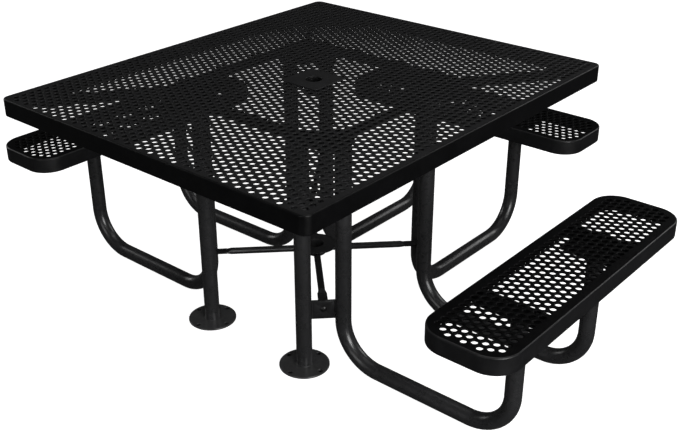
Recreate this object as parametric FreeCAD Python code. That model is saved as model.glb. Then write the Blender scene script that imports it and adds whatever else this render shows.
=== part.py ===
import FreeCAD, Part
import os
import math

# Picnic table with a perforated top and three benches, open on one side for a
# wheelchair.  Units are millimetres, +Z is up and z = 0 is the ground.
# Front (-Y) is the open side, back is +Y, left is -X and right is +X.

V = FreeCAD.Vector

# ---------------------------------------------------------------- dimensions
top_len_x = 1168.4          # table top, left to right (46 in)
top_len_y = 1371.6          # table top, front to back (54 in)
top_height = 777.5          # top surface above the ground
sheet_t = 6.5               # coated perforated sheet
rim_t = 6.0                 # coated edge band
top_rim_h = 52.7            # depth of the edge band round the top
top_corner_r = 25.0         # plan radius of the top's corners
edge_r = 4.5                # rounding of the top edge of every band
foot_edge_r = 1.5           # rounding of the lower edges of every band

hole_pitch = 25.56          # centre distance of the round perforations
row_pitch = hole_pitch * math.sqrt(3.0) / 2.0
hole_d = 16.0               # clear diameter of a perforation
top_cols = 25               # columns each side of the centre column
top_rows = 26               # holes each side of the centre in a long column
border_min = 20.0           # least distance from a hole's centre to the outline

umbrella_d = 50.0           # umbrella pole hole
umb_plate = 137.0           # square plate round the pole hole
umb_plate_t = 3.5
umb_plate_r = 9.0

seat_len = 974.0            # bench, long way
seat_wid = 255.0            # bench, short way
seat_height = 463.2         # bench surface above the ground
seat_rim_h = 50.5
seat_corner_r = 76.8
seat_dist = 864.0           # centre of the table to the middle of a bench
seat_rows = 4               # rows each side of the centre row
seat_cols = 18              # holes each side of the centre in a long row

tube_d = 48.3               # posts and bench tubes
tube_wall = 3.2
post_off = 283.0            # bench tube post, outward from the table's centre
post_side = 200.0           # and sideways
bend_r = 130.0              # centreline radius of both bends

bar_ring = 312.0            # middle of the flat bars under the top
bar_t = 6.35
bar_h = 31.75
plate_t = 6.35              # every mounting plate
corner_in = 298.0           # corner plate, from its inner edge ...
corner_half = 92.0          # ... and half of its width

cross_h = 62.0              # plate that joins the two posts of a corner
cross_mid = 192.0
arm_z = 212.0               # centreline of the four brace arms
arm_d = 21.3
arm_wall = 2.2
hub_ro = 31.0
hub_ri = 25.0
hub_z0 = 196.0
hub_z1 = 228.0
hub_disc_r = 66.0           # flange disc round the hub's top, over the arms
hub_disc_t = 5.0
sleeve_ro = 30.15           # short pipe under the top, round the pole hole

disc_d = 152.4              # foot disc (6 in)
disc_t = 6.35
anchor_pcd = 127.0
anchor_d = 14.3

bolt_d = 9.5
bolt_clear = 10.3

# the origin is under the middle of the whole table's box
y_shift = -((seat_dist + seat_wid / 2.0) - top_len_y / 2.0) / 2.0

os.makedirs("parts", exist_ok=True)
S2 = math.sqrt(0.5)


def put(name, shape):
    s = shape.copy()
    s.translate(V(0, y_shift, 0))
    if not s.isValid():
        raise RuntimeError("invalid solid in " + name)
    print("%-28s solids %d volume %.0f" % (name, len(s.Solids), s.Volume))
    s.exportStep("parts/%s.step" % name)


# ------------------------------------------------------------------- helpers
def rrect(hx, hy, r, z, cx=0.0, cy=0.0):
    """closed wire of a rectangle with round corners"""
    e = []
    k = r * (1.0 - S2)
    pts = [(1, 1), (-1, 1), (-1, -1), (1, -1)]
    for i, (sx, sy) in enumerate(pts):
        x, y = cx + sx * hx, cy + sy * hy
        if i % 2 == 0:
            a = V(x, y - sy * r, z)
            b = V(x - sx * r, y, z)
        else:
            a = V(x - sx * r, y, z)
            b = V(x, y - sy * r, z)
        m = V(x - sx * k, y - sy * k, z)
        e.append(Part.Arc(a, m, b).toShape())
        nx, ny = pts[(i + 1) % 4]
        X, Y = cx + nx * hx, cy + ny * hy
        if i % 2 == 0:
            c = V(X - nx * r, Y, z)
        else:
            c = V(X, Y - ny * r, z)
        e.append(Part.LineSegment(b, c).toShape())
    return Part.Wire(Part.__sortEdges__(e))


def slab(wire, t, holes=()):
    """plate on a wire, t thick upwards, with round holes (x, y, r)"""
    z = wire.BoundBox.ZMin
    ws = [wire]
    for x, y, r in holes:
        ws.append(Part.Wire([Part.makeCircle(r, V(x, y, z), V(0, 0, -1))]))
    f = Part.Face(ws)
    return f.extrude(V(0, 0, t))


def band(hx, hy, r, z_top, h, cx=0.0, cy=0.0):
    """edge band: hollow rounded rectangle with softened edges"""
    o = slab(rrect(hx, hy, r, z_top - h, cx, cy), h)
    top_e = [e for e in o.Edges if abs(e.BoundBox.ZMin - z_top) < 1e-6 and abs(e.BoundBox.ZMax - z_top) < 1e-6]
    o = o.makeFillet(edge_r, top_e)
    low_e = [e for e in o.Edges if abs(e.BoundBox.ZMax - (z_top - h)) < 1e-6]
    o = o.makeFillet(foot_edge_r, low_e)
    i = slab(rrect(hx - rim_t, hy - rim_t, r - rim_t, z_top - h - 5, cx, cy), h + 10)
    return o.cut(i)


def tube(path_edges, d, wall, start, direction):
    """round hollow tube along a path"""
    w = Part.Wire(path_edges)
    co = Part.Wire([Part.makeCircle(d / 2.0, start, direction)])
    ci = Part.Wire([Part.makeCircle(d / 2.0 - wall, start, direction)])
    so = w.makePipeShell([co], True, False)
    si = w.makePipeShell([ci], True, False)
    return so.cut(si)


def cyl(r, h, p, d=V(0, 0, 1)):
    return Part.makeCylinder(r, h, p, d)


def hexagon(af, h, p, d=V(0, 0, 1)):
    """hexagonal prism, af across flats, built along d from p"""
    r = af / math.sqrt(3.0)
    pts = [V(r * math.cos(math.radians(60 * i)), r * math.sin(math.radians(60 * i)), 0) for i in range(7)]
    pts[6] = pts[0]
    s = Part.Face(Part.makePolygon(pts)).extrude(V(0, 0, h))
    s = s.common(Part.makeCylinder(r * 0.985, h))
    rot = FreeCAD.Rotation(V(0, 0, 1), d)
    s.Placement = FreeCAD.Placement(p, rot)
    return s


def turn(shape, deg):
    s = shape.copy()
    s.rotate(V(0, 0, 0), V(0, 0, 1), deg)
    return s


def group(shapes):
    return Part.makeCompound(shapes)


# ------------------------------------------------------------------ table top
hx, hy = top_len_x / 2.0, top_len_y / 2.0
holes = []
for k in range(-top_cols, top_cols + 1):
    n = top_rows if k % 2 == 0 else top_rows - 0.5
    y = -n * hole_pitch
    while y <= n * hole_pitch + 1e-6:
        x = k * row_pitch
        holes.append((x, y, hole_d / 2.0))
        y += hole_pitch
clear_c = umbrella_d / 2.0 + 1.5 + hole_d / 2.0 + 1.0
holes = [h for h in holes if math.hypot(h[0], h[1]) > clear_c]
holes.append((0.0, 0.0, umbrella_d / 2.0 + 1.5))
put("top_panel", slab(rrect(hx - rim_t, hy - rim_t, top_corner_r - rim_t, top_height - sheet_t), sheet_t, holes))
put("top_rim", band(hx, hy, top_corner_r, top_height, top_rim_h))

# square plate round the umbrella hole
p = slab(rrect(umb_plate / 2.0, umb_plate / 2.0, umb_plate_r, top_height), umb_plate_t, [(0, 0, umbrella_d / 2.0)])
p = p.makeFillet(1.5, [e for e in p.Edges if e.BoundBox.ZMin > top_height + umb_plate_t - 1e-6
                      and max(abs(e.CenterOfMass.x), abs(e.CenterOfMass.y)) > umbrella_d / 2.0])
put("umbrella_plate", p)

# short pipe that guides the pole under the top
sleeve_z1 = top_height - sheet_t
put("umbrella_sleeve", cyl(sleeve_ro, bar_h, V(0, 0, sleeve_z1 - bar_h)).cut(
    cyl(umbrella_d / 2.0 + 1.5, bar_h + 10, V(0, 0, sleeve_z1 - bar_h - 5))))

# flat bars on edge, welded into a square under the top
bar_z1 = top_height - sheet_t
bar_z0 = bar_z1 - bar_h
bo = bar_ring + bar_t / 2.0
bi = bar_ring - bar_t / 2.0
put("top_bar_front", Part.makeBox(2 * bo, bar_t, bar_h, V(-bo, -bo, bar_z0)))
put("top_bar_back", Part.makeBox(2 * bo, bar_t, bar_h, V(-bo, bi, bar_z0)))
put("top_bar_left", Part.makeBox(bar_t, 2 * bi, bar_h, V(-bo, -bi, bar_z0)))
put("top_bar_right", Part.makeBox(bar_t, 2 * bi, bar_h, V(bi, -bi, bar_z0)))

# diagonal bars from the square's corners to the corners of the top
cxr, cyr = hx - rim_t, hy - rim_t
sq = Part.makeBox(2 * bo, 2 * bo, 200, V(-bo, -bo, bar_z0 - 50))
inside = slab(rrect(cxr, cyr, top_corner_r - rim_t, bar_z0 - 50), 200)
for tag, sx, sy in (("front_left", -1, -1), ("front_right", 1, -1), ("back_left", -1, 1), ("back_right", 1, 1)):
    a = V(sx * bar_ring, sy * bar_ring, bar_z0)
    b = V(sx * hx, sy * hy, bar_z0)
    d = (b - a).normalize()
    n = V(-d.y, d.x, 0)
    q = [a + n * (bar_t / 2), b + n * (bar_t / 2), b - n * (bar_t / 2), a - n * (bar_t / 2)]
    q.append(q[0])
    s = Part.Face(Part.makePolygon(q)).extrude(V(0, 0, bar_h))
    s = s.cut(sq).common(inside)
    put("top_brace_" + tag, s)

# ---------------------------------------------------------------- corner sets
corner_z1 = bar_z0
corner_z0 = corner_z1 - plate_t
head_z0 = corner_z0 - plate_t
post_top = head_z0
pr = tube_d / 2.0
s_ring = bo * math.sqrt(2.0)
s_post = (post_off + post_side) * S2
t_post = (post_off - post_side) * S2
bolt_s = (s_post - 25.0, s_post + 25.0)


def st(s, t, z):
    """point on the +X+Y diagonal: s outwards, t across"""
    return V((s - t) * S2, (s + t) * S2, z)


def poly_plate(pts, t, holes=()):
    z = pts[0].z
    w = Part.makePolygon(pts + [pts[0]])
    f = Part.Face(w)
    o = f.extrude(V(0, 0, t))
    for x, y, r in holes:
        o = o.cut(cyl(r, t + 2, V(x, y, z - 1)))
    return o


hol = [(st(s, 0, 0).x, st(s, 0, 0).y, bolt_clear / 2.0) for s in bolt_s]
corner = poly_plate([st(corner_in, -corner_half, corner_z0), st(s_ring - corner_half, -corner_half, corner_z0),
                     st(s_ring, 0, corner_z0),
                     st(s_ring - corner_half, corner_half, corner_z0), st(corner_in, corner_half, corner_z0)],
                    plate_t, hol)
head = poly_plate([st(corner_in + 6, -88, head_z0), st(s_post + 40, -88, head_z0),
                   st(s_post + 40, 88, head_z0), st(corner_in + 6, 88, head_z0)], plate_t, hol)
head = head.makeFillet(8.0, [e for e in head.Edges if abs(e.Vertexes[0].Z - e.Vertexes[-1].Z) > 5 and
                             len(e.Vertexes) == 2 and abs(e.Length - plate_t) < 1e-6 and e.Curve.TypeId == "Part::GeomLine"
                             and min((e.Vertexes[0].Point - st(s, t, e.Vertexes[0].Z)).Length
                                     for s in (corner_in + 6, s_post + 40) for t in (-88, 88)) < 1e-3])
cross = Part.Face(Part.makePolygon([st(s_post - plate_t / 2, -t_post, cross_mid - cross_h / 2),
                                    st(s_post + plate_t / 2, -t_post, cross_mid - cross_h / 2),
                                    st(s_post + plate_t / 2, t_post, cross_mid - cross_h / 2),
                                    st(s_post - plate_t / 2, t_post, cross_mid - cross_h / 2),
                                    st(s_post - plate_t / 2, -t_post, cross_mid - cross_h / 2)])).extrude(V(0, 0, cross_h))
for t in (-t_post, t_post):
    c = st(s_post, t, 0)
    cross = cross.cut(cyl(pr, cross_h + 20, V(c.x, c.y, cross_mid - cross_h / 2 - 10)))
arm_bolt_z = cross_mid + 2.0
dd = V(S2, S2, 0)
pb = st(s_post - 20, 0, arm_bolt_z)
cross = cross.cut(cyl(bolt_clear / 2, 40, pb, dd))

# hub with a flange disc and four brace arms: round tubes that butt against the
# hub, flattened at the outer end and turned down behind the cross plate
hub = cyl(hub_ro, hub_z1 - hub_z0, V(0, 0, hub_z0)).cut(cyl(hub_ri, 60, V(0, 0, hub_z0 - 10)))
put("umbrella_hub", hub)
flange = cyl(hub_disc_r, hub_disc_t, V(0, 0, hub_z1 - hub_disc_t)).cut(cyl(hub_ro, 60, V(0, 0, hub_z0)))
flange = flange.makeFillet(1.2, [e for e in flange.Edges if e.Curve.TypeId == "Part::GeomCircle" and e.Curve.Radius > hub_ro + 1])
put("hub_flange", flange)

flat_t = 5.0
flat_w = 29.0
s_in = 20.0
s_out = 272.0
s_face = s_post - plate_t / 2.0
tab_low = arm_bolt_z - 15.0


def arm_flat(s0, s1):
    """box of the flattened end from s0 to s1"""
    q = [st(s0, -flat_w / 2, arm_z - flat_t / 2), st(s1, -flat_w / 2, arm_z - flat_t / 2),
         st(s1, flat_w / 2, arm_z - flat_t / 2), st(s0, flat_w / 2, arm_z - flat_t / 2)]
    q.append(q[0])
    b = Part.Face(Part.makePolygon(q)).extrude(V(0, 0, flat_t))
    return b


def flare(s0, s1):
    """transition from the round tube at s0 to the flat end at s1"""
    def rnd(s, w, h, e):
        """rounded slot section w wide, h high with corner radius e"""
        p = [(-w / 2, -h / 2), (w / 2, -h / 2), (w / 2, h / 2), (-w / 2, h / 2)]
        edges = []
        k = e * (1 - S2)
        mids = []
        for i in range(4):
            x0, y0 = p[i]
            sx = 1 if x0 > 0 else -1
            sy = 1 if y0 > 0 else -1
            if i in (0, 2):
                a = (x0, y0 - sy * e)
                b = (x0 - sx * e, y0)
            else:
                a = (x0 - sx * e, y0)
                b = (x0, y0 - sy * e)
            mids.append((a, (x0 - sx * k, y0 - sy * k), b))
        for i in range(4):
            a, m, b = mids[i]
            A, M, B = [st(s, q[0], arm_z + q[1]) for q in (a, m, b)]
            edges.append(Part.Arc(A, M, B).toShape())
            n = mids[(i + 1) % 4][0]
            N = st(s, n[0], arm_z + n[1])
            if (N - B).Length > 1e-6:
                edges.append(Part.LineSegment(B, N).toShape())
        return Part.Wire(edges)
    e0 = arm_d / 2.0 - 0.05
    return Part.makeLoft([rnd(s0, arm_d, arm_d, e0), rnd(s1, flat_w, flat_t, flat_t / 2.0 - 0.05)], True, True)


a0 = st(s_in, 0, arm_z)
body = Part.makeCylinder(arm_d / 2.0, s_out - s_in, a0, dd)
bore = Part.makeCylinder(arm_d / 2.0 - arm_wall, s_out - s_in, a0, dd)
body = body.cut(bore).cut(cyl(hub_ro, 100, V(0, 0, arm_z - 50)))
fo = flare(s_out, s_out + 14.0)
outer_tab = arm_flat(s_out + 14.0, s_face)
down = Part.Face(Part.makePolygon([st(s_face - flat_t, -flat_w / 2, tab_low), st(s_face, -flat_w / 2, tab_low),
                                   st(s_face, flat_w / 2, tab_low), st(s_face - flat_t, flat_w / 2, tab_low),
                                   st(s_face - flat_t, -flat_w / 2, tab_low)])).extrude(V(0, 0, arm_z + flat_t / 2 - tab_low))
arm = body.fuse([fo, outer_tab, down]).removeSplitter()
bend_e = [e for e in arm.Edges if e.Curve.TypeId == "Part::GeomLine" and abs(e.Length - flat_w) < 0.2
          and abs(e.Vertexes[0].Z - (arm_z + flat_t / 2)) < 1e-4 and abs(e.Vertexes[1].Z - (arm_z + flat_t / 2)) < 1e-4
          and abs(math.hypot(e.CenterOfMass.x, e.CenterOfMass.y) - s_face) < 1e-3]
if bend_e:
    arm = arm.makeFillet(flat_t - 0.6, bend_e)
arm = arm.cut(cyl(bolt_clear / 2, 40, st(s_face - 20, 0, arm_bolt_z), dd))

# low round bolt head outside the cross plate, nut on the tab
s_o = s_post + plate_t / 2.0


def bolt_round(head_p, d, grip, over):
    """bolt with a low round head; head_p is under the head, d points out of the head"""
    sh = cyl(bolt_d / 2, grip + over, head_p - d * (grip + over), d)
    hd = Part.makeSphere(14.0, head_p - d * 9.6)
    cap = cyl(10.2, 6, head_p, d)
    return sh.fuse(hd.common(cap)).removeSplitter()


def nut(p, d, af=14.3, h=8.0):
    n = hexagon(af, h, p, d)
    return n.cut(cyl(bolt_d / 2, h + 4, p - d * 2, d))


bolt0 = bolt_round(st(s_o, 0, arm_bolt_z), dd, plate_t + flat_t, 11.0)
nut0 = nut(st(s_face - flat_t, 0, arm_bolt_z), dd * -1.0)

vb = []
vn = []
for s in bolt_s:
    c = st(s, 0, corner_z1)
    vb.append(bolt_round(c, V(0, 0, 1), 2 * plate_t, 11.0))
    vn.append(nut(V(c.x, c.y, head_z0), V(0, 0, -1)))

tags = (("back_right", 0), ("back_left", 90), ("front_left", 180), ("front_right", 270))
ab, an, fb, fn = [], [], [], []
for tag, deg in tags:
    put("top_corner_plate_" + tag, turn(corner, deg))
    put("post_head_plate_" + tag, turn(head, deg))
    put("cross_plate_" + tag, turn(cross, deg))
    put("brace_arm_" + tag, turn(arm, deg))
    ab.append(turn(bolt0, deg))
    an.append(turn(nut0, deg))
    fb += [turn(b, deg) for b in vb]
    fn += [turn(b, deg) for b in vn]
put("brace_bolts", group(ab))
put("brace_nuts", group(an))
put("top_bolts", group(fb))
put("top_nuts", group(fn))

# -------------------------------------------------------- front posts and feet
for tag, sx in (("left", -1), ("right", 1)):
    x, y = sx * post_side, -post_off
    t = cyl(pr, post_top - disc_t, V(x, y, disc_t)).cut(cyl(pr - tube_wall, post_top, V(x, y, disc_t - 1)))
    put("front_post_" + tag, t)
    hs = [(x + anchor_pcd / 2 * math.cos(math.radians(a)), y + anchor_pcd / 2 * math.sin(math.radians(a)), anchor_d / 2) for a in (0, 90, 180, 270)]
    w = Part.Wire([Part.makeCircle(disc_d / 2.0, V(x, y, 0), V(0, 0, 1))])
    d = slab(w, disc_t, hs)
    d = d.makeFillet(1.5, [e for e in d.Edges if e.Curve.TypeId == "Part::GeomCircle" and e.Curve.Radius > 50 and len(e.Vertexes) == 1])
    put("foot_disc_" + tag, d)

# --------------------------------------------------------------- bench tubes
seat_under = seat_height - sheet_t
seat_low = seat_height - seat_rim_h
brk_z1 = seat_low + 2.0             # top of the bracket's flat leg
brk_z0 = brk_z1 - plate_t
pad_z0 = brk_z0 - plate_t
riser_top = pad_z0


def bench_tube():
    """one bent tube in the X-Z plane, running out in +X from the post"""
    z0 = pr
    x0, x1 = post_off, seat_dist
    r = bend_r
    k = r * S2
    p1 = V(x0, 0, post_top)
    p2 = V(x0, 0, z0 + r)
    p3 = V(x0 + r, 0, z0)
    m1 = V(x0 + r - k, 0, z0 + r - k)
    p4 = V(x1 - r, 0, z0)
    p5 = V(x1, 0, z0 + r)
    m2 = V(x1 - r + k, 0, z0 + r - k)
    p6 = V(x1, 0, riser_top)
    e = [Part.LineSegment(p1, p2).toShape(), Part.Arc(p2, m1, p3).toShape(), Part.LineSegment(p3, p4).toShape(),
         Part.Arc(p4, m2, p5).toShape(), Part.LineSegment(p5, p6).toShape()]
    return tube(e, tube_d, tube_wall, p1, V(0, 0, -1))


bt = bench_tube()
for side, deg in (("right", 0), ("back", 90), ("left", 180)):
    for s in (-1, 1):
        t = bt.copy()
        t.translate(V(0, s * post_side, 0))
        t = turn(t, deg)
        if side == "right":
            tag = "back" if s > 0 else "front"
        elif side == "left":
            tag = "front" if s > 0 else "back"
        else:
            tag = "left" if s > 0 else "right"
        put("bench_tube_%s_%s" % (side, tag), t)

# -------------------------------------------------------------------- benches
sw, sl = seat_wid / 2.0, seat_len / 2.0
sh = []
for k in range(-seat_rows, seat_rows + 1):
    n = seat_cols if k % 2 == 0 else seat_cols - 0.5
    y = -n * hole_pitch
    while y <= n * hole_pitch + 1e-6:
        x = k * row_pitch
        dx = max(0.0, abs(x) - (sw - seat_corner_r))
        dy = max(0.0, abs(y) - (sl - seat_corner_r))
        if seat_corner_r - math.hypot(dx, dy) > border_min:
            sh.append((x + seat_dist, y, hole_d / 2.0))
        y += hole_pitch
seat_panel = slab(rrect(sw - rim_t, sl - rim_t, seat_corner_r - rim_t, seat_under, seat_dist, 0), sheet_t, sh)
seat_rim = band(sw, sl, seat_corner_r, seat_height, seat_rim_h, seat_dist, 0)

# angle bracket across the seat: a web up to the sheet, a flat leg on the tube
leg_w = 76.0
leg_len = 194.0
web_t = 6.35
brackets, pads, bolts, nuts_ = [], [], [], []
seat_in = slab(rrect(sw - rim_t, sl - rim_t, seat_corner_r - rim_t, brk_z0 - 5, seat_dist, 0), 80)
for s in (-1, 1):
    y_out = s * (post_side + leg_w / 2.0)
    y_in = s * (post_side - leg_w / 2.0)
    ya, yb = min(y_out, y_out - s * web_t), max(y_out, y_out - s * web_t)
    web = Part.makeBox(2 * (sw - rim_t), yb - ya, seat_under - brk_z1, V(seat_dist - (sw - rim_t), ya, brk_z1))
    leg = Part.makeBox(leg_len, leg_w, plate_t, V(seat_dist - leg_len / 2, min(y_in, y_out), brk_z0))
    for x in (-42.0, 42.0):
        leg = leg.cut(cyl(bolt_clear / 2, plate_t + 2, V(seat_dist + x, s * post_side, brk_z0 - 1)))
        bolts.append(bolt_round(V(seat_dist + x, s * post_side, brk_z1), V(0, 0, 1), 2 * plate_t, 11.0))
        nuts_.append(nut(V(seat_dist + x, s * post_side, pad_z0), V(0, 0, -1)))
    brackets.append(web.fuse(leg).removeSplitter())
    w = rrect(58.0, 30.0, 8.0, pad_z0, seat_dist, s * post_side)
    pads.append(slab(w, plate_t, [(seat_dist + x, s * post_side, bolt_clear / 2) for x in (-42.0, 42.0)]))

sb, sn = [], []
for side, deg in (("right", 0), ("back", 90), ("left", 180)):
    put("seat_panel_" + side, turn(seat_panel, deg))
    put("seat_rim_" + side, turn(seat_rim, deg))
    put("seat_brackets_" + side, turn(group(brackets), deg))
    put("seat_post_pads_" + side, turn(group(pads), deg))
    sb += [turn(b, deg) for b in bolts]
    sn += [turn(b, deg) for b in nuts_]
put("seat_bolts", group(sb))
put("seat_nuts", group(sn))
print("done")
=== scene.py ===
import math

import bpy
import numpy as np
from mathutils import Matrix, Vector
from mathutils.geometry import delaunay_2d_cdt


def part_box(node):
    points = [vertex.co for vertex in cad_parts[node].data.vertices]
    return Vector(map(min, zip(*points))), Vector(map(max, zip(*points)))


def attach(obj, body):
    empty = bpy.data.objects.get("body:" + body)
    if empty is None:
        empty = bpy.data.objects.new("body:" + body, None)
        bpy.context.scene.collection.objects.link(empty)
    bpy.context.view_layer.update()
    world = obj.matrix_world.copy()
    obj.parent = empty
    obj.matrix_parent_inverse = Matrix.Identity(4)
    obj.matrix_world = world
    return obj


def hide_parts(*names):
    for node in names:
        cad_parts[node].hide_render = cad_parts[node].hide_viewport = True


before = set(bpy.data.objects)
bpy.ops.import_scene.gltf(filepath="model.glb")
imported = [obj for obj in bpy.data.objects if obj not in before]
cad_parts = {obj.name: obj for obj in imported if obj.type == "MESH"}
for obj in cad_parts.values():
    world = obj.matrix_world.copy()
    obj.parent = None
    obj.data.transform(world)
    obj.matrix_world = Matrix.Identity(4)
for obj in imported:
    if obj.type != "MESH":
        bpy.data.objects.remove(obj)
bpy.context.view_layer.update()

# Perforated steel picnic table.  Metres, +Z up, the same frame as the CAD.
# Work in millimetres about the table top's centre, then move into the frame.


def mm(node):
    lo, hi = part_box(node)
    return np.array(lo) * 1000.0, np.array(hi) * 1000.0


# ------------------------------------------------------------- sizes from CAD
top_lo, top_hi = mm("top_rim")
C = np.array([(top_lo[0] + top_hi[0]) / 2.0, (top_lo[1] + top_hi[1]) / 2.0, 0.0])
HX, HY = (top_hi[0] - top_lo[0]) / 2.0, (top_hi[1] - top_lo[1]) / 2.0
TOP_Z, TOP_H = top_hi[2], top_hi[2] - top_lo[2]
SHEET_T = mm("top_panel")[1][2] - mm("top_panel")[0][2]
RIM_T = HX - (mm("top_panel")[1][0] - mm("top_panel")[0][0]) / 2.0
TOP_R, SEAT_R = 25.0, 76.8
EDGE_R = 4.5
PITCH = 25.56
ROW = PITCH * math.sqrt(3.0) / 2.0
HOLE_R = 8.0
HOLE_TOP = (3.1, 2.6)       # rounding of a hole's upper edge: outwards, down
HOLE_LOW = (4.0, 3.9)       # and of its lower edge
s_lo, s_hi = mm("seat_rim_right")
SEAT_X = (s_lo[0] + s_hi[0]) / 2.0 - C[0]
SEAT_HX, SEAT_HY = (s_hi[0] - s_lo[0]) / 2.0, (s_hi[1] - s_lo[1]) / 2.0
SEAT_Z, SEAT_H = s_hi[2], s_hi[2] - s_lo[2]
t_lo, t_hi = mm("bench_tube_right_front")
TUBE_R = (t_hi[1] - t_lo[1]) / 2.0
TUBE_WALL = 3.2
POST_OFF = t_lo[0] + TUBE_R - C[0]
POST_SIDE = abs((t_lo[1] + t_hi[1]) / 2.0 - C[1])
TUBE_TOP = t_hi[2]
RISER_TOP = mm("seat_post_pads_right")[0][2]
BEND_R = 130.0
d_lo, d_hi = mm("foot_disc_right")
DISC_R, DISC_T = (d_hi[0] - d_lo[0]) / 2.0, d_hi[2] - d_lo[2]
u_lo, u_hi = mm("umbrella_plate")
UMB_H, UMB_T = (u_hi[0] - u_lo[0]) / 2.0, u_hi[2] - u_lo[2]
UMB_R = 25.0
h_lo, h_hi = mm("umbrella_hub")
HUB_RO, HUB_RI = (h_hi[0] - h_lo[0]) / 2.0, 25.0
ANCHOR_PCD, ANCHOR_R = 127.0, 7.15
S2 = math.sqrt(0.5)
S_POST = (POST_OFF + POST_SIDE) * S2


# -------------------------------------------------------------------- meshes
class Shape:
    """points with their normals, and faces with a material index"""

    def __init__(self):
        self.v, self.n, self.f, self.m = [], [], [], []

    def ring(self, pts, nrm):
        i = len(self.v)
        self.v += [tuple(p) for p in pts]
        self.n += [tuple(p) for p in nrm]
        return list(range(i, i + len(pts)))

    def strip(self, a, b, mat=0, closed=True):
        k = len(a)
        for i in range(k if closed else k - 1):
            j = (i + 1) % k
            self.f.append((a[i], a[j], b[j], b[i]))
            self.m.append(mat)

    def rings(self, rr, mat=0, closed=True):
        for a, b in zip(rr[:-1], rr[1:]):
            self.strip(a, b, mat, closed)

    def face(self, idx, mat=0):
        self.f.append(tuple(idx))
        self.m.append(mat)

    def moved(self, deg=0.0, shift=(0, 0, 0)):
        c, s = math.cos(math.radians(deg)), math.sin(math.radians(deg))
        R = np.array([[c, -s, 0], [s, c, 0], [0, 0, 1]])
        o = Shape()
        o.v = list(map(tuple, (np.array(self.v) + np.array(shift)) @ R.T))
        o.n = list(map(tuple, np.array(self.n) @ R.T))
        o.f, o.m = list(self.f), list(self.m)
        return o

    def join(self, other):
        k = len(self.v)
        self.v += other.v
        self.n += other.n
        self.f += [tuple(i + k for i in q) for q in other.f]
        self.m += other.m
        return self

    def make(self, name, mats, slot, nodes=(), body="root"):
        v = (np.array(self.v, float) + C) / 1000.0
        n = np.array(self.n, float)
        n /= np.maximum(np.linalg.norm(n, axis=1), 1e-9)[:, None]
        faces = []
        for q in self.f:
            p = v[list(q)]
            g = np.zeros(3)
            for i in range(1, len(q) - 1):
                g += np.cross(p[i] - p[0], p[i + 1] - p[0])
            faces.append(q if g @ n[list(q)].sum(0) >= 0 else q[::-1])
        me = bpy.data.meshes.new(name)
        me.from_pydata([tuple(p) for p in v], [], faces)
        for p, m in zip(me.polygons, self.m):
            p.material_index = m
            p.use_smooth = True
        for m in mats:
            me.materials.append(m)
        me.update()
        me.normals_split_custom_set_from_vertices([tuple(p) for p in n])
        o = bpy.data.objects.new(name, me)
        bpy.context.scene.collection.objects.link(o)
        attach(o, body)
        if nodes:
            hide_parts(*nodes)
        return o


def circle_loop(cx, cy, r, k, hole=False, turn=0.0):
    """(points, outward normals) of a round loop; outward is away from the metal"""
    a = turn + np.arange(k) * 2 * math.pi / k
    d = np.stack([np.cos(a), np.sin(a)], 1)
    return np.array([cx, cy]) + r * d, (-d if hole else d)


def rrect_loop(hx, hy, r, per, cx=0.0, cy=0.0, sides=0):
    pts, nrm = [], []
    for i, (sx, sy) in enumerate(((1, 1), (-1, 1), (-1, -1), (1, -1))):
        for j in range(per + 1):
            a = math.radians(90 * i + 90.0 * j / per)
            d = (math.cos(a), math.sin(a))
            pts.append((cx + sx * (hx - r) + r * d[0], cy + sy * (hy - r) + r * d[1]))
            nrm.append(d)
    return np.array(pts), np.array(nrm)


def fill(loops, z, up, shape, idx, mat, outer=0):
    """flat metal between loops of already made vertices"""
    pts, ids, edges, own = [], [], [], []
    for li, ring in enumerate(idx):
        k0 = len(pts)
        for i in ring:
            pts.append(Vector(shape.v[i][:2]))
            ids.append(i)
            own.append(li)
        k = len(ring)
        edges += [(k0 + j, k0 + (j + 1) % k) for j in range(k)]
    v, e, f, ov, oe, of_ = delaunay_2d_cdt(pts, edges, [], 0, 1e-5)
    back = [o[0] for o in ov]
    for tri in f:
        t = [back[i] for i in tri]
        w = {own[i] for i in t}
        if len(w) == 1 and outer not in w:
            continue
        shape.face([ids[i] for i in t], mat)


def profile_rings(shape, loop, prof):
    """rings along a loop: prof is (inset into the metal, z, outward part, up part)"""
    p, n = loop
    out = []
    for d, z, no, nu in prof:
        q = p - n * d
        pts = np.column_stack([q, np.full(len(q), z)])
        nr = np.column_stack([n * no, np.full(len(q), nu)])
        out.append(shape.ring(pts, nr))
    return out


def arc(c_d, c_z, r, a0, a1, k):
    """arc of a profile: angle 90 is up, 0 is outward (towards smaller inset)"""
    o = []
    for i in range(k + 1):
        a = math.radians(a0 + (a1 - a0) * i / k)
        o.append((c_d - r * math.cos(a), c_z + r * math.sin(a), math.cos(a), math.sin(a)))
    return o


def plate(outer, holes, z0, z1, er, hr, mat=0, k=3):
    """flat plate with rounded edges all round; outer and holes are loops"""
    s = Shape()
    tops, lows = [], []
    for i, lp in enumerate([outer] + list(holes)):
        r = er if i == 0 else hr
        prof = arc(r, z1 - r, r, 90, 0, k) + arc(r, z0 + r, r, 0, -90, k)
        rr = profile_rings(s, lp, prof)
        s.rings(rr, mat)
        tops.append(rr[0])
        lows.append(rr[-1])
    fill(None, z1, True, s, tops, mat)
    fill(None, z0, False, s, lows, mat)
    return s


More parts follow.
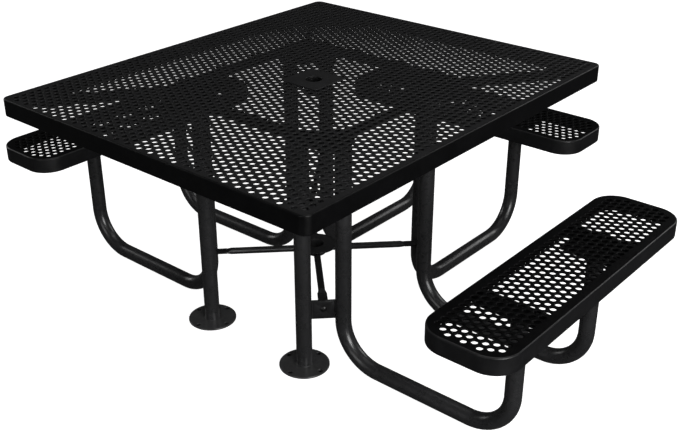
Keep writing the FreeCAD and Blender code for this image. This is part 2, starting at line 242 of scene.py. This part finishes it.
def sheet(hx, hy, r, per, z, rim_h, holes, extra=(), cx=0.0, cy=0.0):
    """perforated sheet and its edge band as one coated skin.  Material 0 is the
    sheet, 1 the band.  The coating rounds every hole's edges."""
    s = Shape()
    t, rt, fi = SHEET_T, RIM_T, 1.0
    outer = rrect_loop(hx, hy, r, per, cx, cy)
    prof = arc(EDGE_R, z - EDGE_R, EDGE_R, 90, 0, 6)
    prof += arc(rt / 2, z - rim_h + rt / 2, rt / 2, 0, -180, 8)
    # inner corner between band and sheet
    for i in range(5):
        a = math.radians(90.0 * i / 4)
        prof.append((rt + fi - fi * math.cos(a), z - t - fi + fi * math.sin(a), -math.cos(a), -math.sin(a)))
    rr = profile_rings(s, outer, prof)
    s.rings(rr, 1)
    tops, lows = [rr[0]], [rr[-1]]
    (e, h), (e2, h2) = HOLE_TOP, HOLE_LOW
    hp = [(e, z, 0, 1), (e * (1 - S2), z - h * (1 - S2), h * S2, e * S2), (0.0, z - h, 1, 0),
          (e2 * (1 - S2), z - t + h2 * (1 - S2), h2 * S2, -e2 * S2), (e2, z - t, 0, -1)]
    sp = [(1.0, z, 0, 1), (0.3, z - 0.3, S2, S2), (0.0, z - 1, 1, 0), (0.0, z - t + 1, 1, 0), (1.0, z - t, 0, -1)]
    for x, y in holes:
        lp = circle_loop(x + cx, y + cy, HOLE_R, 12, True)
        q = profile_rings(s, lp, hp)
        s.rings(q, 0)
        tops.append(q[0])
        lows.append(q[-1])
    for x, y, R in extra:
        lp = circle_loop(x + cx, y + cy, R, 48, True)
        q = profile_rings(s, lp, sp)
        s.rings(q, 0)
        tops.append(q[0])
        lows.append(q[-1])
    fill(None, z, True, s, tops, 0)
    fill(None, z - t, False, s, lows, 0)
    return s


def sweep(path, tang, side, r_out, r_in, k=40):
    """hollow round tube along a path in one plane; side is that plane's normal"""
    s = Shape()
    path, tang = np.array(path, float), np.array(tang, float)
    side = np.array(side, float)
    a = np.arange(k) * 2 * math.pi / k
    rad = []
    for p, t in zip(path, tang):
        u = np.cross(side, t)
        rad.append(np.outer(np.cos(a), u) + np.outer(np.sin(a), side))
    b = 0.8

    def put(i, r, off, nr, nt):
        p = path[i] + tang[i] * off
        return s.ring(p + rad[i] * r, rad[i] * nr + tang[i] * nt)

    last = len(path) - 1
    seq = [put(0, r_in, b, -1, 0), put(0, r_in + b, 0, -0.3, -1), put(0, r_out - b, 0, 0.3, -1), put(0, r_out, b, 1, 0)]
    seq += [put(i, r_out, 0, 1, 0) for i in range(1, last)]
    seq += [put(last, r_out, -b, 1, 0), put(last, r_out - b, 0, 0.3, 1), put(last, r_in + b, 0, -0.3, 1), put(last, r_in, -b, -1, 0)]
    seq += [put(i, r_in, 0, -1, 0) for i in range(last - 1, 0, -1)]
    s.rings(seq + [seq[0]])
    return s


def bead(c, up, r, leg, k=72, ripple=0.10, seed=1, inner=None):
    """weld bead round a tube standing on a plate: c on the plate, up away from it"""
    s = Shape()
    up = np.array(up, float)
    x = np.array([1.0, 0, 0]) if abs(up[0]) < 0.9 else np.array([0, 1.0, 0])
    u = np.cross(up, x)
    u /= np.linalg.norm(u)
    w = np.cross(up, u)
    rng = np.random.default_rng(seed)
    ph = rng.uniform(0, 6.28, 4)
    a = np.arange(k) * 2 * math.pi / k
    d = np.outer(np.cos(a), u) + np.outer(np.sin(a), w)
    lump = 1 + ripple * np.abs(np.sin(a * k / 6.0)) + 0.06 * np.sin(2 * a + ph[0]) + 0.04 * np.sin(5 * a + ph[1])
    seq = []
    prof = [(-0.6, 1.0, 0.15, 1.0), (0.10, 0.92, 0.45, 0.9), (0.42, 0.58, 0.7, 0.7), (0.80, 0.22, 0.9, 0.45), (1.0, 0.02, 1, 0.2), (1.0, -0.05, 0.7, -0.7),
            (-0.6, -0.05, -0.7, -0.7)]
    for o, h, no, nu in prof:
        R = r + leg * o * (lump if o > 0 else 1.0)
        H = leg * h * (lump if h > 0.05 else 1.0)
        R = np.full(k, R) if np.isscalar(R) else R
        H = np.full(k, H) if np.isscalar(H) else H
        seq.append(s.ring(np.array(c) + d * R[:, None] + up * H[:, None], d * no + up * nu))
    s.rings(seq + [seq[0]])
    return s


def line_bead(a, b, n1, n2, leg, k=24, seed=1):
    """straight weld fillet from a to b in the corner between walls facing n1 and n2"""
    s = Shape()
    a, b, n1, n2 = (np.array(q, float) for q in (a, b, n1, n2))
    d = (b - a) / np.linalg.norm(b - a)
    rng = np.random.default_rng(seed)
    seq = []
    for i in range(k + 1):
        f = i / k
        L = leg * (1 + 0.12 * abs(math.sin(math.pi * i / 2.0)) + 0.06 * rng.uniform(-1, 1))
        if i in (0, k):
            L *= 0.55
        p = a + (b - a) * f
        q = [p + n1 * L, p + (n1 + n2) * L * 0.47, p + n2 * L, p - (n1 + n2) * 0.6]
        m = [n1 + 0.5 * n2, n1 + n2, n2 + 0.5 * n1, -(n1 + n2)]
        seq.append(s.ring(q, m))
    s.rings(seq)
    s.face(seq[0])
    s.face(seq[-1])
    return s


# ----------------------------------------------------------------- materials
def coat(name, dark, light, rough, peel=0.35, grain=0.0, dust=0.0, scuff=0.0, metal=0.0, spec=0.5, clear=0.0, wear=0.0):
    """plastic or powder coating: two close tones in soft patches, orange peel,
    fine grain, patchy roughness, and a little dust on what faces up"""
    m = bpy.data.materials.new(name)
    m.use_nodes = True
    nt = m.node_tree
    N, L = nt.nodes, nt.links
    for x in list(N):
        N.remove(x)
    out = N.new("ShaderNodeOutputMaterial")
    b = N.new("ShaderNodeBsdfPrincipled")
    L.new(b.outputs[0], out.inputs[0])
    b.inputs["Metallic"].default_value = metal
    b.inputs["Specular IOR Level"].default_value = spec
    b.inputs["Coat Weight"].default_value = clear
    b.inputs["Coat Roughness"].default_value = 0.22
    tc = N.new("ShaderNodeTexCoord")
    co = tc.outputs["Object"]

    def noise(scale, detail=3.0, rough_=0.55):
        t = N.new("ShaderNodeTexNoise")
        t.inputs["Scale"].default_value = scale
        t.inputs["Detail"].default_value = detail
        t.inputs["Roughness"].default_value = rough_
        L.new(co, t.inputs["Vector"])
        return t.outputs["Fac"]

    def ramp(src, lo, hi, a=0.0, z=1.0):
        r = N.new("ShaderNodeMapRange")
        r.inputs["From Min"].default_value = lo
        r.inputs["From Max"].default_value = hi
        r.inputs["To Min"].default_value = a
        r.inputs["To Max"].default_value = z
        L.new(src, r.inputs["Value"])
        return r.outputs["Result"]

    def mix(fac, a, c):
        x = N.new("ShaderNodeMix")
        x.data_type = "RGBA"
        if isinstance(fac, float):
            x.inputs[0].default_value = fac
        else:
            L.new(fac, x.inputs[0])
        for k, q in ((6, a), (7, c)):
            if isinstance(q, tuple):
                x.inputs[k].default_value = (*q, 1.0)
            else:
                L.new(q, x.inputs[k])
        return x.outputs[2]

    def math_(op, a, c):
        x = N.new("ShaderNodeMath")
        x.operation = op
        for k, q in ((0, a), (1, c)):
            if isinstance(q, (int, float)):
                x.inputs[k].default_value = q
            else:
                L.new(q, x.inputs[k])
        return x.outputs[0]

    big = noise(9.0, 4.0)
    mid = noise(70.0, 4.0)
    col = mix(ramp(math_("MULTIPLY", ramp(big, 0.3, 0.7), ramp(mid, 0.25, 0.75)), 0.0, 0.7), dark, light)
    if dust > 0:
        geo = N.new("ShaderNodeNewGeometry")
        sep = N.new("ShaderNodeSeparateXYZ")
        L.new(geo.outputs["Normal"], sep.inputs[0])
        upf = ramp(sep.outputs["Z"], 0.55, 1.0, 0.0, dust)
        patch = ramp(noise(26.0, 5.0, 0.7), 0.42, 0.72)
        col = mix(math_("MULTIPLY", upf, patch), col, (0.16, 0.155, 0.145))
    if wear > 0:
        # small pale scuffs where things rub
        w = ramp(noise(240.0, 2.0, 0.8), 0.70, 0.78, 0.0, wear)
        w2 = ramp(noise(18.0, 2.0), 0.52, 0.66)
        col = mix(math_("MULTIPLY", w, w2), col, (0.12, 0.12, 0.12))
    L.new(col, b.inputs["Base Color"])
    ro = ramp(math_("MULTIPLY", noise(34.0, 4.0), 1.0), 0.3, 0.7, rough - 0.06, rough + 0.07)
    fine = ramp(noise(900.0, 1.0), 0.3, 0.7, -0.03, 0.03)
    L.new(math_("ADD", ro, fine), b.inputs["Roughness"])
    # relief: orange peel about 3 mm across on a slow wave, then grain
    h = math_("ADD", math_("MULTIPLY", noise(330.0, 2.0, 0.45), peel), math_("MULTIPLY", noise(46.0, 2.0), peel * 1.6))
    if grain > 0:
        h = math_("ADD", h, math_("MULTIPLY", noise(1700.0, 2.0), grain))
    bp = N.new("ShaderNodeBump")
    bp.inputs["Strength"].default_value = 0.55
    bp.inputs["Distance"].default_value = 0.0007
    L.new(h, bp.inputs["Height"])
    L.new(bp.outputs[0], b.inputs["Normal"])
    return m


def g(v):
    """linear value of an sRGB grey from 0 to 255"""
    v /= 255.0
    return ((v + 0.055) / 1.055) ** 2.4 if v > 0.04045 else v / 12.92


# the top's sheet and the seats' sheets are one black coating: the top's gets a lighter base as painted light, the
# seats' a near-black base as painted shade
M_SHEET_PAINTED_LIT = coat("coated_sheet_top_painted_lit", (g(19), g(19), g(20)), (g(27), g(27), g(29)), 0.52, 0.35, 0.05, dust=0.02, spec=0.32)
M_SEAT_PAINTED_SHADE = coat("coated_sheet_seat_painted_shade", (g(4), g(4), g(5)), (g(9), g(9), g(10)), 0.42, 0.4, 0.05, spec=0.09)
# the edge bands are the same black coating: the top's band gets a darker base as painted shade, the seats' bands a
# lighter base as painted light
M_EDGE_PAINTED_SHADE = coat("coated_edge", (g(8), g(8), g(9)), (g(14), g(14), g(15)), 0.40, 0.35, 0.04, spec=0.22)
M_SEAT_EDGE_PAINTED_LIT = coat("coated_seat_edge_painted_lit", (g(18), g(18), g(19)), (g(26), g(26), g(28)), 0.40, 0.35, 0.04)
M_TUBE = coat("coated_tube", (g(42), g(42), g(43)), (g(52), g(52), g(53)), 0.29, 0.16, 0.10, spec=0.65, clear=0.12, wear=0.10)
# the foot discs are the same black coating, given a much lighter base as a painted reflection of the surroundings
M_FOOT_PAINTED_SHEEN = coat("coated_foot", (g(66), g(66), g(67)), (g(82), g(82), g(82)), 0.17, 0.04, 0.04, dust=0.03, spec=0.7, clear=0.4, wear=0.10)
M_STEEL = coat("coated_steel", (g(29), g(29), g(30)), (g(40), g(40), g(41)), 0.38, 0.20, 0.10, spec=0.4)
M_WELD = coat("coated_weld", (g(34), g(34), g(35)), (g(50), g(50), g(51)), 0.42, 0.35, 0.15)
M_HARD = coat("hardware", (g(14), g(14), g(15)), (g(26), g(26), g(27)), 0.40, 0.05, 0.20, metal=0.0, wear=0.12)

# -------------------------------------------------------------------- top
holes = []
for k in range(-25, 26):
    n = 26.0 if k % 2 == 0 else 25.5
    for j in range(int(2 * n) + 1):
        y = (-n + j) * PITCH
        x = k * ROW
        if math.hypot(x, y) > UMB_R + 1.5 + HOLE_R + 1.0:
            holes.append((x, y))
sheet(HX, HY, TOP_R, 10, TOP_Z, TOP_H, holes, [(0.0, 0.0, UMB_R + 1.5)]).make(
    "top_sheet", [M_SHEET_PAINTED_LIT, M_EDGE_PAINTED_SHADE], "coated_sheet", ["top_panel", "top_rim"])

umb = plate(rrect_loop(UMB_H, UMB_H, 9.0, 6), [circle_loop(0, 0, UMB_R, 64, True)], TOP_Z, TOP_Z + UMB_T, 1.2, 0.9)
umb.make("umbrella_plate_skin", [M_STEEL], "coated_steel", ["umbrella_plate"])

# ------------------------------------------------------------------ benches
seat_holes = []
for k in range(-4, 5):
    n = 18.0 if k % 2 == 0 else 17.5
    for j in range(int(2 * n) + 1):
        y = (-n + j) * PITCH
        x = k * ROW
        dx = max(0.0, abs(x) - (SEAT_HX - SEAT_R))
        dy = max(0.0, abs(y) - (SEAT_HY - SEAT_R))
        if SEAT_R - math.hypot(dx, dy) > 20.0:
            seat_holes.append((x, y))
seat = sheet(SEAT_HX, SEAT_HY, SEAT_R, 16, SEAT_Z, SEAT_H, seat_holes, (), SEAT_X, 0.0)

z0, r = TUBE_R, BEND_R
x0, x1 = POST_OFF, SEAT_X
path, tang = [], []
for f in (0.0, 0.12, 0.34, 0.56, 0.78):
    path.append((x0, 0, TUBE_TOP + (z0 + r - TUBE_TOP) * f))
    tang.append((0, 0, -1))
for i in range(25):
    a = math.radians(180 + 90.0 * i / 24)
    path.append((x0 + r + r * math.cos(a), 0, z0 + r + r * math.sin(a)))
    tang.append((-math.sin(a), 0, math.cos(a)))
for f in (0.25, 0.5, 0.75):
    path.append((x0 + r + (x1 - x0 - 2 * r) * f, 0, z0))
    tang.append((1, 0, 0))
for i in range(25):
    a = math.radians(270 + 90.0 * i / 24)
    path.append((x1 - r + r * math.cos(a), 0, z0 + r + r * math.sin(a)))
    tang.append((-math.sin(a), 0, math.cos(a)))
for f in (0.34, 0.67, 1.0):
    path.append((x1, 0, z0 + r + (RISER_TOP - z0 - r) * f))
    tang.append((0, 0, 1))
bent = sweep(path, tang, (0, 1, 0), TUBE_R, TUBE_R - TUBE_WALL, 44)

head_lo, head_hi = mm("post_head_plate_back_right")
cross_lo, cross_hi = mm("cross_plate_back_right")
pad_z = RISER_TOP
seed = 10
for side, deg in (("right", 0), ("back", 90), ("left", 180)):
    seat.moved(deg).make("seat_sheet_" + side, [M_SEAT_PAINTED_SHADE, M_SEAT_EDGE_PAINTED_LIT], "coated_sheet",
                         ["seat_panel_" + side, "seat_rim_" + side])
    for s in (-1, 1):
        if side == "right":
            tag = "back" if s > 0 else "front"
        elif side == "left":
            tag = "front" if s > 0 else "back"
        else:
            tag = "left" if s > 0 else "right"
        one = bent.moved(0, (0, s * POST_SIDE, 0)).moved(deg)
        one.make("bent_tube_%s_%s" % (side, tag), [M_TUBE], "coated_tube", ["bench_tube_%s_%s" % (side, tag)])
        seed += 1
        w = bead((x0, s * POST_SIDE, TUBE_TOP), (0, 0, -1), TUBE_R, 4.5, seed=seed)
        w.join(bead((x1, s * POST_SIDE, pad_z), (0, 0, -1), TUBE_R, 4.5, seed=seed + 40))
        w.moved(deg).make("weld_%s_%s" % (side, tag), [M_WELD], "coated_steel")

# ---------------------------------------------------------- front posts, feet
for tag, sx in (("left", -1), ("right", 1)):
    x, y = sx * POST_SIDE, -POST_OFF
    zz = [DISC_T, 140.0, 300.0, 460.0, 620.0, TUBE_TOP]
    sweep([(x, y, q) for q in zz], [(0, 0, 1)] * len(zz), (0, 1, 0), TUBE_R, TUBE_R - TUBE_WALL, 48).make(
        "post_" + tag, [M_TUBE], "coated_tube", ["front_post_" + tag])
    hs = [circle_loop(x + ANCHOR_PCD / 2 * math.cos(math.radians(a)), y + ANCHOR_PCD / 2 * math.sin(math.radians(a)), ANCHOR_R, 28, True)
          for a in (0, 90, 180, 270)]
    plate(circle_loop(x, y, DISC_R, 120), hs, 0.0, DISC_T, 1.6, 0.7).make(
        "foot_" + tag, [M_FOOT_PAINTED_SHEEN], "coated_foot", ["foot_disc_" + tag])
    w = bead((x, y, DISC_T), (0, 0, 1), TUBE_R, 2.2, 96, 0.05, seed=70 + sx)
    w.join(bead((x, y, TUBE_TOP), (0, 0, -1), TUBE_R, 4.5, seed=80 + sx))
    w.make("weld_post_" + tag, [M_WELD], "coated_steel")

# ----------------------------------------------------------------------- hub
hub = plate(circle_loop(0, 0, HUB_RO, 64), [circle_loop(0, 0, HUB_RI, 56, True)], h_lo[2], h_hi[2], 0.6, 0.9)
hub.make("hub_ring", [M_STEEL], "coated_steel", ["umbrella_hub"])
if "hub_flange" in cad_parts:
    f_lo, f_hi = mm("hub_flange")
    fl = plate(circle_loop(0, 0, (f_hi[0] - f_lo[0]) / 2.0, 110), [circle_loop(0, 0, HUB_RO, 64, True)], f_lo[2], f_hi[2], 1.3, 0.4)
    fl.make("hub_disc", [M_STEEL], "coated_steel", ["hub_flange"])
    w = bead((0, 0, f_lo[2]), (0, 0, -1), HUB_RO, 3.0, seed=120)
    w.make("weld_hub", [M_WELD], "coated_steel")
if "umbrella_sleeve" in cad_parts:
    v_lo, v_hi = mm("umbrella_sleeve")
    sl = plate(circle_loop(0, 0, (v_hi[0] - v_lo[0]) / 2.0, 64), [circle_loop(0, 0, UMB_R + 1.5, 56, True)], v_lo[2], v_hi[2], 1.0, 0.8)
    sl.make("pole_sleeve", [M_STEEL], "coated_steel", ["umbrella_sleeve"])

# ------------------------------------------------ weld fillets of flat pieces
bz = mm("top_bar_right")[0][2]
bx = mm("top_bar_right")
bar_in, bar_out = bx[0][0] - C[0], bx[1][0] - C[0]
w = Shape()
seed = 200
top_under = TOP_Z - SHEET_T
for deg in (0, 90, 180, 270):
    for sgn, xx in ((-1, bar_in), (1, bar_out)):
        for yy in (-235.0, -75.0, 75.0, 235.0):
            seed += 1
            w.join(line_bead((xx, yy - 22, top_under), (xx, yy + 22, top_under), (sgn, 0, 0), (0, 0, -1), 4.0, seed=seed).moved(deg))
    # cross plate to its two posts, outside and inside
    t_post = (POST_OFF - POST_SIDE) * S2
    for t in (-t_post, t_post):
        for sg, so in ((1, 3.175), (-1, -3.175)):
            ts = -1 if t > 0 else 1
            tt = t + ts * math.sqrt(TUBE_R ** 2 - 3.175 ** 2)
            p = np.array([(S_POST + so - tt) * S2, (S_POST + so + tt) * S2, 0])
            n1 = np.array([S2 * sg, S2 * sg, 0])
            n2 = np.array([-S2 * ts, S2 * ts, 0])
            seed += 1
            w.join(line_bead(p + np.array([0, 0, cross_lo[2] + 2]), p + np.array([0, 0, cross_hi[2] - 2]), n1, n2, 3.6, seed=seed).moved(deg))
w.make("weld_frame", [M_WELD], "coated_steel")

# seat brackets: short fillets between each web and the sheet
w = Shape()
br = mm("seat_brackets_right")
web_out = (br[1][1] - br[0][1]) / 2.0
for side, deg in (("right", 0), ("back", 90), ("left", 180)):
    for s in (-1, 1):
        for so, yy in ((1, web_out), (-1, web_out - 6.35)):
            for xx in (-80.0, 0.0, 80.0):
                seed += 1
                a = (SEAT_X + xx - 18, s * yy, SEAT_Z - SHEET_T)
                b = (SEAT_X + xx + 18, s * yy, SEAT_Z - SHEET_T)
                w.join(line_bead(a, b, (0, s * so, 0), (0, 0, -1), 3.6, seed=seed).moved(deg))
w.make("weld_brackets", [M_WELD], "coated_steel")

# ------------------------------------------------ CAD pieces that stay as are
for name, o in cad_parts.items():
    if o.hide_render:
        continue
    if "bolt" in name or "nut" in name:
        mat = M_HARD
    else:
        mat = M_STEEL
    o.data.materials.clear()
    o.data.materials.append(mat)
    for p in o.data.polygons:
        p.use_smooth = True
    wd = o.modifiers.new("weld", "WELD")
    wd.merge_threshold = 2e-5
    bv = o.modifiers.new("bevel", "BEVEL")
    bv.width = 0.0006 if ("bolt" in name or "nut" in name) else 0.0009
    bv.segments = 2
    bv.limit_method = "ANGLE"
    bv.angle_limit = math.radians(38)
    bv.harden_normals = True
    bv.use_clamp_overlap = True

# --------------------------------------------------------------------- stage
def stage_plane(name, size, mat):
    me = bpy.data.meshes.new(name)
    h = size / 2.0
    me.from_pydata([(-h, -h, 0), (h, -h, 0), (h, h, 0), (-h, h, 0)], [], [(0, 1, 2, 3)])
    me.materials.append(mat)
    o = bpy.data.objects.new(name, me)
    bpy.context.scene.collection.objects.link(o)
    return o


fm = bpy.data.materials.new("pale_floor")
fm.use_nodes = True
fb = fm.node_tree.nodes["Principled BSDF"]
fb.inputs["Base Color"].default_value = (0.92, 0.92, 0.92, 1)
fb.inputs["Roughness"].default_value = 1.0
fb.inputs["Specular IOR Level"].default_value = 0.0
fb.inputs["Emission Color"].default_value = (1, 1, 1, 1)
fb.inputs["Emission Strength"].default_value = 0.95
floor = stage_plane("floor", 120.0, fm)
floor.location.z = -0.0005
floor.visible_glossy = False
floor.visible_diffuse = False

# painted shadow: a black disc just above the floor under each foot, so the anchor holes show dark
dm = bpy.data.materials.new("painted_shadow_under_feet")
dm.use_nodes = True
db = dm.node_tree.nodes["Principled BSDF"]
db.inputs["Base Color"].default_value = (0.01, 0.01, 0.01, 1)
db.inputs["Roughness"].default_value = 1.0
db.inputs["Specular IOR Level"].default_value = 0.0
for sx in (-1, 1):
    me = bpy.data.meshes.new("painted_shadow_patch")
    ring_ = [((sx * POST_SIDE + C[0] + (DISC_R - 4) * math.cos(2 * math.pi * i / 60)) / 1000.0,
              (-POST_OFF + C[1] + (DISC_R - 4) * math.sin(2 * math.pi * i / 60)) / 1000.0, -0.0002) for i in range(60)]
    me.from_pydata(ring_, [], [tuple(range(60))])
    me.materials.append(dm)
    o = bpy.data.objects.new("painted_shadow_patch", me)
    bpy.context.scene.collection.objects.link(o)

world = bpy.data.worlds.new("studio")
bpy.context.scene.world = world
world.use_nodes = True
bg = world.node_tree.nodes["Background"]
bg.inputs[0].default_value = (1.0, 1.0, 1.0, 1)
bg.inputs[1].default_value = 0.035

# pale backdrop, far off
bm_ = bpy.data.materials.new("pale_backdrop")
bm_.use_nodes = True
bb = bm_.node_tree.nodes["Principled BSDF"]
bb.inputs["Base Color"].default_value = (0.9, 0.9, 0.9, 1)
bb.inputs["Specular IOR Level"].default_value = 0.0
bb.inputs["Emission Color"].default_value = (1, 1, 1, 1)
bb.inputs["Emission Strength"].default_value = 1.0
pts, fcs = [], []
K = 48
for j, (rr_, zz_) in enumerate(((50.0, -1.0), (50.0, 30.0), (36.0, 46.0), (12.0, 56.0))):
    for i in range(K):
        a = 2 * math.pi * i / K
        pts.append((rr_ * math.cos(a), rr_ * math.sin(a), zz_))
for j in range(3):
    for i in range(K):
        fcs.append((j * K + i, j * K + (i + 1) % K, (j + 1) * K + (i + 1) % K, (j + 1) * K + i))
fcs.append(tuple(3 * K + i for i in range(K)))
me = bpy.data.meshes.new("backdrop")
me.from_pydata(pts, [], fcs)
me.materials.append(bm_)
bd = bpy.data.objects.new("backdrop", me)
bpy.context.scene.collection.objects.link(bd)
bd.visible_glossy = False
bd.visible_diffuse = False
bd.visible_shadow = False
bd.visible_transmission = False


def area(name, loc, look, sx, sy, power, spread=180.0):
    l = bpy.data.lights.new(name, "AREA")
    l.shape = "RECTANGLE"
    l.size, l.size_y = sx, sy
    l.energy = power
    l.spread = math.radians(spread)
    o = bpy.data.objects.new(name, l)
    bpy.context.scene.collection.objects.link(o)
    o.location = loc
    d = Vector(look) - Vector(loc)
    o.rotation_euler = d.to_track_quat("-Z", "Y").to_euler()
    return o


def at(az, el, dist, z=0.35):
    """az 0 is the front (-Y), 90 the right (+X)"""
    a, e = math.radians(az), math.radians(el)
    return (dist * math.sin(a) * math.cos(e), -dist * math.cos(a) * math.cos(e), z + dist * math.sin(e))


area("key_right", at(68, 14, 5.0), (0, 0, 0.4), 2.4, 2.6, 150)
area("fill_front", at(5, 12, 5.0), (0, 0, 0.4), 1.6, 2.6, 22)
area("fill_left", at(-75, 20, 5.5), (0, 0, 0.4), 2.0, 2.0, 35)
area("rim_back", at(160, 30, 5.5), (0, 0, 0.4), 3.0, 2.0, 45)
area("top_soft", (0.2, 0.3, 4.6), (0, 0, 0.4), 3.0, 3.0, 42)

# -------------------------------------------------------------------- camera
cam = bpy.data.cameras.new("camera")
co_ = bpy.data.objects.new("camera", cam)
bpy.context.scene.collection.objects.link(co_)
yaw, pitch, roll = -0.704138803, 0.469574245, -0.00230178539
Fv = Vector((math.sin(yaw) * math.cos(pitch), math.cos(yaw) * math.cos(pitch), -math.sin(pitch)))
R0 = Vector((math.cos(yaw), -math.sin(yaw), 0))
U0 = R0.cross(Fv)
Rv = R0 * math.cos(roll) + U0 * math.sin(roll)
Uv = -R0 * math.sin(roll) + U0 * math.cos(roll)
M = Matrix((Rv, Uv, -Fv)).transposed().to_4x4()
M.translation = Vector((1.91302842, -2.13572858 + C[1] / 1000.0, 1.77764885))
co_.matrix_world = M
cam.sensor_fit = "HORIZONTAL"
cam.sensor_width = 36.0
cam.lens = 36.0 * 1014.04253 / 679.0
cam.clip_start, cam.clip_end = 0.05, 400.0
bpy.context.scene.camera = co_
bpy.context.scene.view_settings.view_transform = "Standard"
bpy.context.scene.view_settings.look = "None"

bpy.context.view_layer.update()
